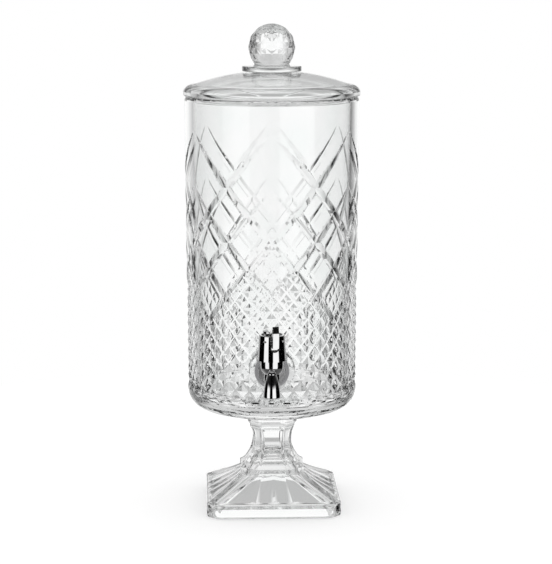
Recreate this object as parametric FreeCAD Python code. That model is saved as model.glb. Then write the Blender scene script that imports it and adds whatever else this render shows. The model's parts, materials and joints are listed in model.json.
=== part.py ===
import FreeCAD, Part
import os
from math import asin, cos, degrees, radians, sin, sqrt
from FreeCAD import Vector

# Footed glass juice dispenser: a cylinder of thick pressed glass on a square foot, with a domed
# lid and a small chromed lever tap low at the front.
# Millimetres. Z is up, the tap looks along -Y, and the origin is the middle of the foot's underside.

# Gaps between pieces that seat, run or screw on each other, and how far cutters pass a face
seat_gap = 0.2
running_gap = 0.05
thread_gap = 0.08
overcut = 1.0

# Foot: a clipped square plinth, a fluted skirt, a ledge and an eight-sided waisted stem
plinth_width = 125.0
plinth_clip = 10.2
plinth_height = 13.8
plinth_round = 2.0
skirt_height = 18.4
skirt_sag = 1.2
ledge_width = 59.0
ledge_clip = 13.0
ledge_height = 6.2
ledge_slope_height = 2.4
waist_width = 34.6
waist_clip = 7.6
waist_rise = 25.6
lower_flare_radius = 36.5
upper_flare_radius = 27.5
upper_flare_rise = 17.0
stem_collar_height = 4.0
foot_turn = 2.2

# Hollow pressed into the foot from below: upright plinth walls, a sloped shelf, a throat and a low dome
hollow_rim_wall = 6.7
hollow_rim_draft = 2.2
hollow_rim_height = 7.5
hollow_shelf_rise = 22.5
hollow_shelf_sag = 0.8
hollow_ledge_wall = 7.5
hollow_corner_round = 7.0
hollow_throat_rise = 7.0
hollow_throat_draft = 3.0
hollow_dome_rise = 13.0
hollow_dome_flat = 3.0

# Sunk panel on each side of the stem, and hollows down each side of the skirt
panel_margin = 0.6
panel_spread = 1.8
panel_depth = 0.8
panel_height = 26.0
panel_round = 2.5
flute_ridge_top = 10.7
flute_ridge_foot = 17.7
inner_flute_radius = 33.0
outer_flute_radius = 100.0
flute_border = 1.6

# Vessel: a slightly tapered cylinder with a dished, thick bottom
vessel_foot_radius = 79.2
vessel_flare = 1.6
vessel_height = 301.3
vessel_wall = 8.0
floor_thickness = 14.0
dish_radius = 225.0
foot_corner_radius = 18.0
inner_corner_radius = 14.0
rim_round = 3.4

# Tap seat: a flat round boss on the vessel with the hole for the tap's shank
tap_rise = 59.5
boss_margin = 3.4
boss_proud = 2.5
boss_root = 6.0
inner_flat_margin = 1.0
inner_flat_depth = 0.1
shank_radius = 7.9
shank_hole_gap = 0.5

# Lid: a rim ring with a sloped shoulder, a shallow dome and a locating lip inside the vessel
lid_overhang = 1.2
lid_edge_height = 4.6
lid_edge_round = 2.0
lid_shoulder_width = 9.4
lid_shoulder_rise = 10.8
lid_shoulder_bulge = 1.7
dome_rise = 12.4
lid_thickness = 5.5
lip_gap = 0.7
lip_depth = 5.0
lip_wall = 4.2
lip_round = 1.0
crown_hole_gap = 0.1

# Knob: a ball on a waist and a flange, with a spigot through the lid's crown
ball_radius = 21.7
ball_drop = 13.3
knob_flange_radius = 27.5
knob_flange_height = 4.6
knob_flange_round = 0.9
knob_waist_radius = 16.2
knob_waist_height = 3.9
spigot_radius = 17.8
spigot_reach = 1.6

# Tap body: a bowl-shaped chamber on a narrow foot, with a spout in front and a threaded shank behind
gasket_thickness = 3.0
outer_gasket_radius = 15.6
tap_reach = 31.0
flange_plate_margin = 3.2
flange_plate_thickness = 2.6
flange_plate_round = 0.9
throat_radius = 6.6
chamber_bore_radius = 7.5
chamber_wall = 2.9
chamber_top_rise = 16.4
bowl_top_rise = 11.5
bowl_height = 7.4
bowl_bulge = 0.85
seat_bore_radius = 5.6
seat_bore_wall = 1.5
seat_bore_rise = 7.5
seat_drop = 3.8
body_drop = 11.3
body_foot_round = 3.0
outlet_radius = 2.5
shank_bore_radius = 4.2
shank_end_round = 0.8
spout_forward = 9.5
spout_top_radius = 4.0
spout_top_rise = 5.5
spout_bulge = 0.75
spout_mouth_radius = 7.6
spout_drop = 15.5
spout_lip_round = 0.8
spout_bore_radius = 6.0
spout_bore_top_radius = 4.0
spout_bore_depth = 9.0
body_neck_wall = 2.1
body_neck_height = 4.8

# Barrel: a tapered cup screwed over the body's neck, slotted for the lever
barrel_height = 22.8
barrel_step = 2.3
barrel_taper = 1.4
barrel_rim_wall = 2.0
barrel_ledge_overlap = 1.2
barrel_ledge_height = 1.2
barrel_turn = 13.0
barrel_edge_round = 0.6

# Valve inside the tap
bush_flange_height = 1.6
bush_plug_height = 5.4
seal_pocket_height = 2.2
seal_wire_radius = 0.8
bush_seal_thickness = 1.0
spring_washer_thickness = 0.7
spring_washer_gap = 0.7
spring_radius = 4.4
spring_wire_radius = 0.4
spring_turns = 5
stem_radius = 2.0
stem_waist_radius = 1.25
stem_waist_spare = 4.4
spring_collar_radius = 4.4
spring_collar_height = 1.2
stem_socket_depth = 3.6
plug_radius = 3.6
plug_height = 5.6
plug_nose_radius = 3.1
plug_nose_height = 1.2
cap_radius = 3.2
cap_height = 1.5
cap_round = 0.4
cap_socket_depth = 1.1

# Lever: a flat bell crank on a pin across the slot, with a fork under the stem's cap
fork_prong = 1.2
fork_side_gap = 0.25
fork_nose_radius = 1.2
fork_cap_gap = 0.3
fork_slot_reach = 4.6
slot_side_gap = 1.3
pin_radius = 1.0
pivot_forward = 8.2
pivot_drop = 5.0
hub_radius = 2.2
hub_back = 3.0
toe_drop = 7.0
toe_back = 1.4
arm_drop = 5.0
arm_forward = 7.4
blade_forward = 8.4
blade_rise = 3.6
blade_length = 6.2
blade_lean = 20.0
blade_thickness = 2.4
heel_gap = 0.4
heel_thickness = 2.6
heel_radius = 7.1
heel_back = 4.0
heel_round = 0.8
heel_joint = 2.2

# Clamping parts inside the vessel
inner_gasket_radius = 13.0
clamp_washer_radius = 12.6
clamp_washer_thickness = 1.4
nut_across_flats = 24.0
nut_height = 8.0
nut_round = 1.0
shank_spare = 5.0

# Foot and vessel, from the sizes above
ledge_foot = plinth_height + skirt_height
ledge_top = ledge_foot + ledge_height
shoulder_top = ledge_top + ledge_slope_height
waist_z = ledge_top + waist_rise
flare_top = waist_z + upper_flare_rise
vessel_foot = flare_top + stem_collar_height
vessel_top = vessel_foot + vessel_height
vessel_top_radius = vessel_foot_radius + vessel_flare

# Lid and knob, from the sizes above
lid_seat = vessel_top + seat_gap
lid_radius = vessel_top_radius + lid_overhang
lip_radius = vessel_top_radius - vessel_wall - lip_gap
lid_shoulder_radius = lid_radius - lid_shoulder_width
crown_z = lid_seat + lid_shoulder_rise + dome_rise
dome_radius = (lid_shoulder_radius ** 2 + dome_rise ** 2) / (2 * dome_rise)
knob_seat = crown_z - dome_rise * (spigot_radius / lid_shoulder_radius) ** 2 + seat_gap
knob_flange_top = knob_seat + knob_flange_height
ball_z = knob_flange_top + knob_waist_height + ball_drop

# Tap's places, from the glass outwards and from the shank's axis up and down
tap_z = vessel_foot + tap_rise
radius_at_tap = vessel_foot_radius + vessel_flare * tap_rise / vessel_height
boss_radius = outer_gasket_radius + boss_margin
boss_y = -(radius_at_tap + boss_proud)
inner_flat_y = -(radius_at_tap - vessel_wall + inner_flat_depth)
flange_y = boss_y - gasket_thickness
chamber_y = boss_y - tap_reach
chamber_radius = chamber_bore_radius + chamber_wall
chamber_top = tap_z + chamber_top_rise
bowl_top = tap_z + bowl_top_rise
seat_bore_top = tap_z + seat_bore_rise
seat_body_radius = seat_bore_radius + seat_bore_wall
seat_z = tap_z - seat_drop
body_foot = tap_z - body_drop
spout_y = chamber_y - spout_forward
spout_foot = tap_z - spout_drop
spout_top = tap_z + spout_top_rise
neck_radius = chamber_bore_radius + body_neck_wall
neck_top = chamber_top + body_neck_height

# Valve and barrel, stacked on the body
bush_seat = neck_top + bush_seal_thickness
bush_top = bush_seat + bush_flange_height
bush_foot = bush_seat - bush_plug_height
spring_top = bush_foot - spring_washer_thickness
plug_top = seat_z + plug_height
collar_top = plug_top + spring_collar_height
barrel_foot = chamber_top + seat_gap
barrel_top = barrel_foot + barrel_height
barrel_foot_radius = chamber_radius + barrel_step
barrel_top_radius = barrel_foot_radius - barrel_taper
slot_foot = bush_top + barrel_ledge_height + seat_gap

# Lever and the stem's cap, from the pivot; y is measured along the slot from the barrel's axis
pivot_y = -pivot_forward
pivot_z = barrel_top - pivot_drop
lever_width = 2 * (stem_waist_radius + fork_side_gap + fork_prong)
slot_width = lever_width + 2 * slot_side_gap
heel_z = barrel_top + heel_gap
heel_top = heel_z + heel_thickness
waist_foot = pivot_z - fork_nose_radius - stem_waist_spare
cap_foot = pivot_z + fork_nose_radius + fork_cap_gap
cap_top = cap_foot + cap_height

# Clamping stack on the shank
inner_gasket_y = inner_flat_y + gasket_thickness
washer_y = inner_gasket_y + clamp_washer_thickness
nut_y = washer_y + nut_height
shank_end = nut_y + shank_spare

axis_x = Vector(1, 0, 0)
axis_y = Vector(0, 1, 0)
axis_z = Vector(0, 0, 1)
origin = Vector(0, 0, 0)
half_arc = 1 - sqrt(0.5)


def cylinder(radius, z0, z1, y=0.0):
    """Upright cylinder between two heights."""
    return Part.makeCylinder(radius, z1 - z0, Vector(0, y, z0), axis_z)


def cone(radius0, radius1, z0, z1, y=0.0):
    """Upright cone frustum: the first radius at the first height."""
    return Part.makeCone(radius0, radius1, z1 - z0, Vector(0, y, z0), axis_z)


def shank_cylinder(radius, y0, y1):
    """Cylinder along the tap's shank, from front to back."""
    return Part.makeCylinder(radius, y1 - y0, Vector(0, y0, tap_z), axis_y)


def cross_cylinder(radius, length, y, z):
    """Cylinder from side to side, centred on the YZ plane."""
    return Part.makeCylinder(radius, length, Vector(-length / 2, y, z), axis_x)


def ring_plate(inner, outer, y0, y1):
    """Flat ring round the shank."""
    return shank_cylinder(outer, y0, y1).cut(shank_cylinder(inner, y0 - overcut, y1 + overcut))


def line(a, b):
    """Straight edge in the XZ plane."""
    return Part.LineSegment(Vector(a[0], 0, a[1]), Vector(b[0], 0, b[1])).toShape()


def arc(a, middle, b):
    """Round edge through three points of the XZ plane."""
    points = [Vector(p[0], 0, p[1]) for p in (a, middle, b)]
    return Part.Arc(*points).toShape()


def revolve(edges):
    """Solid of revolution about Z from a closed outline in the XZ plane."""
    face = Part.Face(Part.Wire(edges))
    return face.revolve(origin, axis_z, 360)


def on_circle(centre, radius, angle):
    """Point of a circle in the XZ plane, with the angle in degrees from +X."""
    return (centre[0] + radius * cos(radians(angle)), centre[1] + radius * sin(radians(angle)))


def edges_round(shape, radius, wanted):
    """Fillets the edges that the test picks."""
    picked = [edge for edge in shape.Edges if wanted(edge)]
    return shape.makeFillet(radius, picked)


def level_circle(edge, z, radius):
    """True for a full horizontal circle at this height and of this radius."""
    box = edge.BoundBox
    flat = abs(box.ZMin - z) < 0.01 and abs(box.ZMax - z) < 0.01
    return flat and abs(box.XLength - 2 * radius) < 0.02


def circle_at_y(edge, y):
    """True for an edge in the upright plane at this distance along Y."""
    box = edge.BoundBox
    return abs(box.YMin - y) < 0.01 and abs(box.YMax - y) < 0.01


def foot_profile(plinth, ledge, waist, inset):
    """Half outline of the foot seen along one direction, from the axis out and up.

    The first three values are the half widths of plinth, ledge and waist in that direction.
    """
    upper_centre = (waist + upper_flare_radius - inset, waist_z)
    upper_angle = 180 - degrees(asin(upper_flare_rise / upper_flare_radius))
    top = on_circle(upper_centre, upper_flare_radius, upper_angle)
    lower_centre = (waist + lower_flare_radius - inset, waist_z)
    lower_angle = 180 + degrees(asin((waist_z - shoulder_top) / lower_flare_radius))
    low = on_circle(lower_centre, lower_flare_radius, lower_angle)
    neck = (waist - inset, waist_z)
    edge_foot = (plinth, plinth_height - plinth_round)
    edge_middle = (plinth - plinth_round * half_arc, plinth_height - plinth_round * half_arc)
    skirt_edge = (plinth - plinth_round, plinth_height)
    ledge_edge = (ledge, ledge_foot)
    block_top = vessel_foot + floor_thickness
    return [
        line((0, 0), (plinth, 0)),
        line((plinth, 0), edge_foot),
        arc(edge_foot, edge_middle, skirt_edge),
        arc(skirt_edge, sagging_middle(skirt_edge, ledge_edge, skirt_sag), ledge_edge),
        line(ledge_edge, (ledge, ledge_top)),
        line((ledge, ledge_top), low),
        arc(low, on_circle(lower_centre, lower_flare_radius, (lower_angle + 180) / 2), neck),
        arc(neck, on_circle(upper_centre, upper_flare_radius, (upper_angle + 180) / 2), top),
        line(top, (top[0], block_top)),
        line((top[0], block_top), (0, block_top)),
        line((0, block_top), (0, 0)),
    ]


def sagging_middle(low, high, sag):
    """Middle of a line in the XZ plane, moved by the sag towards the axis and down."""
    run = low[0] - high[0]
    rise = high[1] - low[1]
    length = sqrt(run ** 2 + rise ** 2)
    return ((low[0] + high[0]) / 2 - sag * rise / length, (low[1] + high[1]) / 2 - sag * run / length)


def pushed_slab(outline, turn):
    """Half outline doubled over the axis and pushed straight through in the turned direction."""
    depth = plinth_width * 2
    half = Part.Face(Part.Wire(outline))
    half.translate(Vector(0, -depth / 2, 0))
    right = half.extrude(Vector(0, depth, 0))
    slab = right.fuse(right.mirror(origin, axis_x)).removeSplitter()
    slab.rotate(origin, axis_z, turn)
    return slab


def clipped_stack(flat_outline, corner_outline):
    """What two outlines share, each pushed through two ways: clipped squares all the way up."""
    block = pushed_slab(flat_outline, 0)
    for outline, turn in ((flat_outline, 90), (corner_outline, 45), (corner_outline, 135)):
        block = block.common(pushed_slab(outline, turn))
    return block


def diagonal(width, clip):
    """Half width across the clipped corners of a square."""
    return (width - clip) / sqrt(2)


def foot_block(inset=0.0):
    """Outside of the foot as one block, or its stem set in by a little."""
    corners = (
        diagonal(plinth_width, plinth_clip),
        diagonal(ledge_width, ledge_clip),
        diagonal(waist_width, waist_clip),
    )
    flat_outline = foot_profile(plinth_width / 2, ledge_width / 2, waist_width / 2, inset)
    return clipped_stack(flat_outline, foot_profile(*corners, inset))


def hollow_profile(rim, throat_width):
    """Half outline of the hollow, from its half widths at rim and throat in that direction."""
    shelf = (rim - hollow_rim_draft, hollow_rim_height)
    throat = (throat_width, shelf[1] + hollow_shelf_rise)
    dome_foot = (throat[0] - hollow_throat_draft, throat[1] + hollow_throat_rise)
    top_z = dome_foot[1] + hollow_dome_rise
    width = dome_foot[0] - hollow_dome_flat
    radius = (width ** 2 + hollow_dome_rise ** 2) / (2 * hollow_dome_rise)
    centre = (hollow_dome_flat, top_z - radius)
    middle_angle = (degrees(asin((dome_foot[1] - centre[1]) / radius)) + 90) / 2
    return [
        line((0, 0), (rim, 0)),
        line((rim, 0), shelf),
        arc(shelf, sagging_middle(shelf, throat, hollow_shelf_sag), throat),
        line(throat, dome_foot),
        arc(dome_foot, on_circle(centre, radius, middle_angle), (hollow_dome_flat, top_z)),
        line((hollow_dome_flat, top_z), (0, top_z)),
        line((0, top_z), (0, 0)),
    ]


def foot_hollow():
    """Hollow under the foot, which the press tool leaves: a square that turns into an even octagon."""
    rim = plinth_width / 2 - hollow_rim_wall
    throat = ledge_width / 2 - hollow_ledge_wall
    rim_corner = (rim - hollow_corner_round) * sqrt(2) + hollow_corner_round
    return clipped_stack(hollow_profile(rim, throat), hollow_profile(rim_corner, throat))


def panel_recess(inner_block):
    """Shallow panel sunk in the front of the stem, following its flare."""
    top_half = waist_width / 2 - waist_clip - panel_margin
    foot_half = top_half + panel_spread
    z0 = waist_z - panel_height / 2
    z1 = waist_z + panel_height / 2
    corners = [(-foot_half, z0), (foot_half, z0), (top_half, z1), (-top_half, z1)]
    points = [Vector(x, -plinth_width, z) for x, z in corners]
    prism = Part.Face(Part.makePolygon(points + points[:1])).extrude(Vector(0, plinth_width, 0))
    upper = lambda e: e.BoundBox.YLength > plinth_width / 2 and e.BoundBox.ZMin > waist_z
    return edges_round(prism, panel_round, upper).cut(inner_block)


def flute(radius, top_x0, top_x1, foot_x0, foot_x1):
    """Round hollow down the front of the skirt, between two ridges, from the ledge to the plinth's border."""
    top_depth = radius - sqrt(radius ** 2 - ((top_x1 - top_x0) / 2) ** 2)
    foot_depth = radius - sqrt(radius ** 2 - ((foot_x1 - foot_x0) / 2) ** 2)
    foot_y = plinth_width / 2 - plinth_round
    top = Vector((top_x0 + top_x1) / 2, -ledge_width / 2, ledge_foot)
    foot = Vector((foot_x0 + foot_x1) / 2, -foot_y, plinth_height)
    out = Vector(0, -skirt_height, foot_y - ledge_width / 2).normalize()
    start = top + out * (radius - top_depth)
    end = foot + out * (radius - foot_depth)
    spine = Part.Arc(start, (start + end) * 0.5 - out * skirt_sag, end).toShape()
    face = Part.Face(Part.Wire(Part.makeCircle(radius, start, spine.tangentAt(spine.FirstParameter))))
    swept = degrees(spine.LastParameter - spine.FirstParameter)
    tube = face.revolve(spine.Curve.Center, spine.Curve.Axis, swept)
    run = foot_y - flute_border - ledge_width / 2
    corner = Vector(-plinth_width, -ledge_width / 2 - run, 0)
    return tube.common(Part.makeBox(2 * plinth_width, run, plinth_width, corner))


def make_pedestal_foot(vessel_blank):
    """Pressed glass foot, hollow below with a flat ground rim, joined hot to the vessel's bottom."""
    edge_top = ledge_width / 2 - ledge_clip
    edge_foot = plinth_width / 2 - plinth_clip
    flutes = [
        flute(inner_flute_radius, 0, flute_ridge_top, 0, flute_ridge_foot),
        flute(outer_flute_radius, flute_ridge_top, edge_top, flute_ridge_foot, edge_foot),
    ]
    cutters = [panel_recess(foot_block(panel_depth))] + flutes
    cutters += [hollow.mirror(origin, axis_x) for hollow in flutes]
    foot = foot_block()
    for side in range(4):
        for cutter in cutters:
            turned_cutter = cutter.copy()
            turned_cutter.rotate(origin, axis_z, 90 * side)
            foot = foot.cut(turned_cutter)
    foot = foot.cut(foot_hollow())
    foot.rotate(origin, axis_z, foot_turn)
    return foot.cut(vessel_blank)


def dished_bottom(radius, corner, pole_z):
    """Outline of a dished bottom, from its pole to its side: a wide dish, then a small corner arc."""
    dish_centre = (0.0, pole_z + dish_radius)
    drop = sqrt((dish_radius - corner) ** 2 - (radius - corner) ** 2)
    corner_centre = (radius - corner, dish_centre[1] - drop)
    lean = degrees(asin((radius - corner) / (dish_radius - corner)))
    joint = on_circle(dish_centre, dish_radius, lean - 90)
    side = (radius, corner_centre[1])
    dish = arc((0, pole_z), on_circle(dish_centre, dish_radius, lean / 2 - 90), joint)
    corner_arc = arc(joint, on_circle(corner_centre, corner, (lean - 90) / 2), side)
    return [dish, corner_arc], side


def make_vessel_blank():
    """Outside of the vessel as a filled solid, without the tap's boss."""
    bottom, side = dished_bottom(vessel_foot_radius, foot_corner_radius, vessel_foot)
    top = (vessel_top_radius, vessel_top)
    closing = [line(side, top), line(top, (0, vessel_top)), line((0, vessel_top), (0, vessel_foot))]
    return revolve(bottom + closing)


def make_vessel_hollow():
    """Inside of the vessel, up past its rim."""
    floor_z = vessel_foot + floor_thickness
    top_z = vessel_top + overcut
    bottom, side = dished_bottom(vessel_foot_radius - vessel_wall, inner_corner_radius, floor_z)
    top = (vessel_top_radius - vessel_wall, top_z)
    return revolve(bottom + [line(side, top), line(top, (0, top_z)), line((0, top_z), (0, floor_z))])


def make_glass_vessel(blank):
    """Thick glass cylinder, open at the top, with a flat boss and a hole for the tap."""
    boss = shank_cylinder(boss_radius, boss_y, boss_y + boss_root)
    inner_flat_radius = inner_gasket_radius + inner_flat_margin
    inner_flat = shank_cylinder(inner_flat_radius, inner_flat_y, inner_flat_y + boss_root)
    shank_hole = shank_cylinder(shank_radius + shank_hole_gap, boss_y - overcut, 0)
    vessel = blank.fuse(boss).cut(make_vessel_hollow()).cut(inner_flat).cut(shank_hole)
    return edges_round(vessel, rim_round, lambda e: abs(e.BoundBox.ZMin - vessel_top) < 0.01)


def make_glass_lid():
    """Domed lid: it rests on the vessel's rim and its lip keeps it in place."""
    edge_top = (lid_radius, lid_seat + lid_edge_height)
    edge_foot = (lid_radius, lid_seat + lid_edge_round)
    edge_in = (lid_radius - lid_edge_round, lid_seat)
    edge_middle = (lid_radius - lid_edge_round * half_arc, lid_seat + lid_edge_round * half_arc)
    crease = (lid_shoulder_radius, lid_seat + lid_shoulder_rise)
    shoulder_middle = sagging_middle(edge_top, crease, -lid_shoulder_bulge)
    dome_centre = (0.0, crown_z - dome_radius)
    dome_angle = degrees(asin(lid_shoulder_radius / dome_radius))
    under_radius = dome_radius - lid_thickness
    lip_inner = lip_radius - lip_wall
    under_angle = degrees(asin(lip_inner / under_radius))
    under_edge = on_circle(dome_centre, under_radius, 90 - under_angle)
    under_middle = on_circle(dome_centre, under_radius, 90 - under_angle / 2)
    under_crown = (0, crown_z - lid_thickness)
    lip_foot = lid_seat - lip_depth
    lid = revolve([
        arc((0, crown_z), on_circle(dome_centre, dome_radius, 90 - dome_angle / 2), crease),
        arc(crease, shoulder_middle, edge_top),
        line(edge_top, edge_foot),
        arc(edge_foot, edge_middle, edge_in),
        line(edge_in, (lip_radius, lid_seat)),
        line((lip_radius, lid_seat), (lip_radius, lip_foot)),
        line((lip_radius, lip_foot), (lip_inner, lip_foot)),
        line((lip_inner, lip_foot), under_edge),
        arc(under_edge, under_middle, under_crown),
        line(under_crown, (0, crown_z)),
    ])
    lid = lid.cut(cylinder(spigot_radius + crown_hole_gap, lid_seat, crown_z + overcut))
    lip_radii = (lip_radius, lip_inner)
    return edges_round(lid, lip_round, lambda e: any(level_circle(e, lip_foot, r) for r in lip_radii))


def make_lid_knob():
    """Ball knob on a waist and a round flange, with a spigot cemented into the lid's crown."""
    spigot_foot = crown_z - lid_thickness - spigot_reach
    flange = cylinder(knob_flange_radius, knob_seat, knob_flange_top)
    flange_rims = lambda e: abs(e.BoundBox.XLength - 2 * knob_flange_radius) < 0.01
    flange = edges_round(flange, knob_flange_round, lambda e: flange_rims(e) and e.BoundBox.ZLength < 0.01)
    ball_foot = knob_flange_top + knob_waist_height
    ball_foot_radius = sqrt(ball_radius ** 2 - ball_drop ** 2)
    waist_middle = (knob_waist_radius, (knob_flange_top + ball_foot) / 2)
    ball_foot_angle = degrees(asin(-ball_drop / ball_radius))
    side = on_circle((0, ball_z), ball_radius, (ball_foot_angle + 90) / 2)
    ball = revolve([
        line((0, knob_flange_top), (ball_foot_radius, knob_flange_top)),
        arc((ball_foot_radius, knob_flange_top), waist_middle, (ball_foot_radius, ball_foot)),
        arc((ball_foot_radius, ball_foot), side, (0, ball_z + ball_radius)),
        line((0, ball_z + ball_radius), (0, knob_flange_top)),
    ])
    return flange.fuse([ball, cylinder(spigot_radius, spigot_foot, knob_seat)]).removeSplitter()


def make_tap_body():
    """Chamber with its spout, flange plate and threaded shank: one chromed moulding."""
    bowl_low = (seat_body_radius, bowl_top - bowl_height)
    bowl_high = (chamber_radius, bowl_top)
    chamber = revolve([
        line((0, body_foot), (seat_body_radius, body_foot)),
        line((seat_body_radius, body_foot), bowl_low),
        arc(bowl_low, sagging_middle(bowl_low, bowl_high, -bowl_bulge), bowl_high),
        line(bowl_high, (chamber_radius, chamber_top)),
        line((chamber_radius, chamber_top), (0, chamber_top)),
        line((0, chamber_top), (0, body_foot)),
    ])
    chamber = edges_round(chamber, body_foot_round, lambda e: level_circle(e, body_foot, seat_body_radius))
    chamber.translate(Vector(0, chamber_y, 0))
    lip = (spout_mouth_radius, spout_foot)
    shoulder = (spout_top_radius, spout_top)
    spout = revolve([
        line((0, spout_foot), lip),
        arc(lip, sagging_middle(lip, shoulder, -spout_bulge), shoulder),
        line(shoulder, (0, spout_top)),
        line((0, spout_top), (0, spout_foot)),
    ])
    spout = edges_round(spout, spout_lip_round, lambda e: level_circle(e, spout_foot, spout_mouth_radius))
    spout.translate(Vector(0, spout_y, 0))
    spout_dome = Part.makeSphere(spout_top_radius, Vector(0, spout_y, spout_top))
    neck = cylinder(neck_radius, chamber_top - overcut, neck_top, y=chamber_y)
    throat = shank_cylinder(throat_radius, chamber_y, flange_y)
    plate_front = flange_y - flange_plate_thickness
    plate = shank_cylinder(outer_gasket_radius - flange_plate_margin, plate_front, flange_y)
    plate = edges_round(plate, flange_plate_round, lambda e: circle_at_y(e, plate_front))
    shank = shank_cylinder(shank_radius, flange_y - overcut, shank_end)
    shank = edges_round(shank, shank_end_round, lambda e: circle_at_y(e, shank_end))
    body = chamber.fuse([spout, spout_dome, neck, throat, plate, shank]).removeSplitter()

    bore_top = spout_foot + spout_bore_depth
    mouth = cone(spout_bore_radius, spout_bore_top_radius, spout_foot, bore_top, y=spout_y)
    elbow = Vector(0, chamber_y, seat_z - outlet_radius)
    duct_way = Vector(0, spout_y, bore_top - outlet_radius) - elbow
    duct = Part.makeCylinder(outlet_radius, duct_way.Length, elbow, duct_way)
    duct = duct.fuse(Part.makeSphere(outlet_radius, elbow))
    seat_hole = cylinder(outlet_radius, seat_z - outlet_radius, seat_z, y=chamber_y)
    seat_bore = cylinder(seat_bore_radius, seat_z, seat_bore_top, y=chamber_y)
    chamber_bore = cylinder(chamber_bore_radius, seat_bore_top, neck_top, y=chamber_y)
    shank_bore = shank_cylinder(shank_bore_radius, chamber_y, shank_end)
    shank_bore = shank_bore.cut(cylinder(seat_bore_radius, body_foot, seat_z, y=chamber_y))
    for cutter in (mouth, duct, seat_hole, seat_bore, chamber_bore, shank_bore):
        body = body.cut(cutter)
    return body


def turned(shape):
    """Turns a piece with the barrel and moves it onto the chamber's axis."""
    shape.rotate(origin, axis_z, barrel_turn)
    shape.translate(Vector(0, chamber_y, 0))
    return shape


def make_tap_barrel():
    """Tapered cup over the neck: its ledge clamps the bush, and its slot lets the lever swing."""
    barrel = cone(barrel_foot_radius, barrel_top_radius, barrel_foot, barrel_top)
    barrel = edges_round(barrel, barrel_edge_round, lambda e: level_circle(e, barrel_top, barrel_top_radius))
    ledge_top_z = bush_top + barrel_ledge_height
    ledge_radius = neck_radius - barrel_ledge_overlap
    bore_radius = barrel_top_radius - barrel_rim_wall
    barrel = barrel.cut(cylinder(neck_radius + thread_gap, barrel_foot - overcut, bush_top))
    barrel = barrel.cut(cylinder(ledge_radius, bush_top - overcut, ledge_top_z + overcut))
    barrel = barrel.cut(cylinder(bore_radius, ledge_top_z, barrel_top + overcut))
    half = slot_width / 2
    reach = barrel_foot_radius + overcut
    slot_end = Vector(0, 0, slot_foot + half)
    slot = Part.makeBox(slot_width, reach, barrel_height, slot_end - Vector(half, reach, 0))
    slot = slot.fuse(Part.makeCylinder(half, reach, slot_end, -axis_y))
    pin_hole = cross_cylinder(pin_radius, 2 * barrel_foot_radius, pivot_y, pivot_z)
    return turned(barrel.cut(slot).cut(pin_hole))


def make_lever_pin():
    """Steel pin across the slot, pressed into the barrel's wall and flush with it."""
    wall_radius = barrel_foot_radius - barrel_taper * (pivot_z - barrel_foot) / barrel_height
    half_length = sqrt(wall_radius ** 2 - (pivot_forward + pin_radius) ** 2)
    return turned(cross_cylinder(pin_radius, 2 * half_length, pivot_y, pivot_z))


def make_tap_lever():
    """Bell crank: a leaning blade for the thumb, a heel over the barrel and a fork round the stem."""
    lean = radians(blade_lean)
    blade_y = pivot_y - blade_forward
    blade_z = barrel_top + blade_rise
    tip_y = blade_y + blade_length * sin(lean)
    tip_z = blade_z + blade_length * cos(lean)
    back_y = blade_thickness * cos(lean)
    back_z = -blade_thickness * sin(lean)
    outline = [
        (0.0, pivot_z - fork_nose_radius),
        (pivot_y + hub_radius, pivot_z - hub_radius),
        (pivot_y + toe_back, pivot_z - toe_drop),
        (pivot_y - hub_radius, pivot_z - toe_drop),
        (pivot_y - hub_radius, pivot_z - arm_drop),
        (pivot_y - arm_forward, pivot_z - arm_drop),
        (blade_y, blade_z),
        (tip_y, tip_z),
        (tip_y + back_y, tip_z + back_z),
        (blade_y + back_y + heel_joint, heel_top),
        (heel_back, heel_top),
        (heel_back, heel_z),
        (pivot_y + hub_back, heel_z),
        (pivot_y + hub_back, pivot_z + fork_nose_radius),
        (0.0, pivot_z + fork_nose_radius),
    ]
    points = [Vector(-lever_width / 2, y, z) for y, z in outline]
    plate = Part.Face(Part.makePolygon(points + points[:1])).extrude(Vector(lever_width, 0, 0))
    nose = cross_cylinder(fork_nose_radius, lever_width, 0, pivot_z)
    heel = cylinder(heel_radius, heel_z, heel_top, y=heel_back)
    heel = edges_round(heel, heel_round, lambda e: level_circle(e, heel_top, heel_radius))
    lever = plate.fuse([nose, heel]).removeSplitter()
    gap = lever_width - 2 * fork_prong
    nose_reach = fork_nose_radius + overcut
    corner = Vector(-gap / 2, -fork_slot_reach, pivot_z - nose_reach)
    fork = Part.makeBox(gap, fork_slot_reach + nose_reach, 2 * nose_reach, corner)
    hole = cross_cylinder(pin_radius + running_gap, lever_width + overcut, pivot_y, pivot_z)
    return turned(lever.cut(fork).cut(hole))


def make_guide_bush():
    """Plastic bush that guides the stem and closes the chamber."""
    flange = cylinder(neck_radius - seat_gap, bush_seat, bush_top, y=chamber_y)
    plug = cylinder(chamber_bore_radius - running_gap, bush_foot, bush_seat, y=chamber_y)
    bore = cylinder(stem_radius + running_gap, bush_foot - overcut, bush_top + overcut, y=chamber_y)
    pocket_radius = stem_radius + 2 * (seal_wire_radius + running_gap)
    pocket_top = bush_foot + seal_pocket_height
    pocket = cylinder(pocket_radius, bush_foot - overcut, pocket_top, y=chamber_y)
    return flange.fuse(plug).removeSplitter().cut(bore).cut(pocket)


def make_bush_seal():
    """Flat rubber ring between the bush's flange and the body's neck."""
    ring = cylinder(neck_radius - seat_gap, neck_top, bush_seat, y=chamber_y)
    return ring.cut(cylinder(chamber_bore_radius, neck_top - overcut, bush_seat + overcut, y=chamber_y))


def make_stem_seal():
    """Rubber ring in the bush's pocket, round the stem."""
    middle = Vector(0, chamber_y, bush_foot + seal_wire_radius)
    return Part.makeTorus(stem_radius + running_gap + seal_wire_radius, seal_wire_radius, middle, axis_z)


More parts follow.
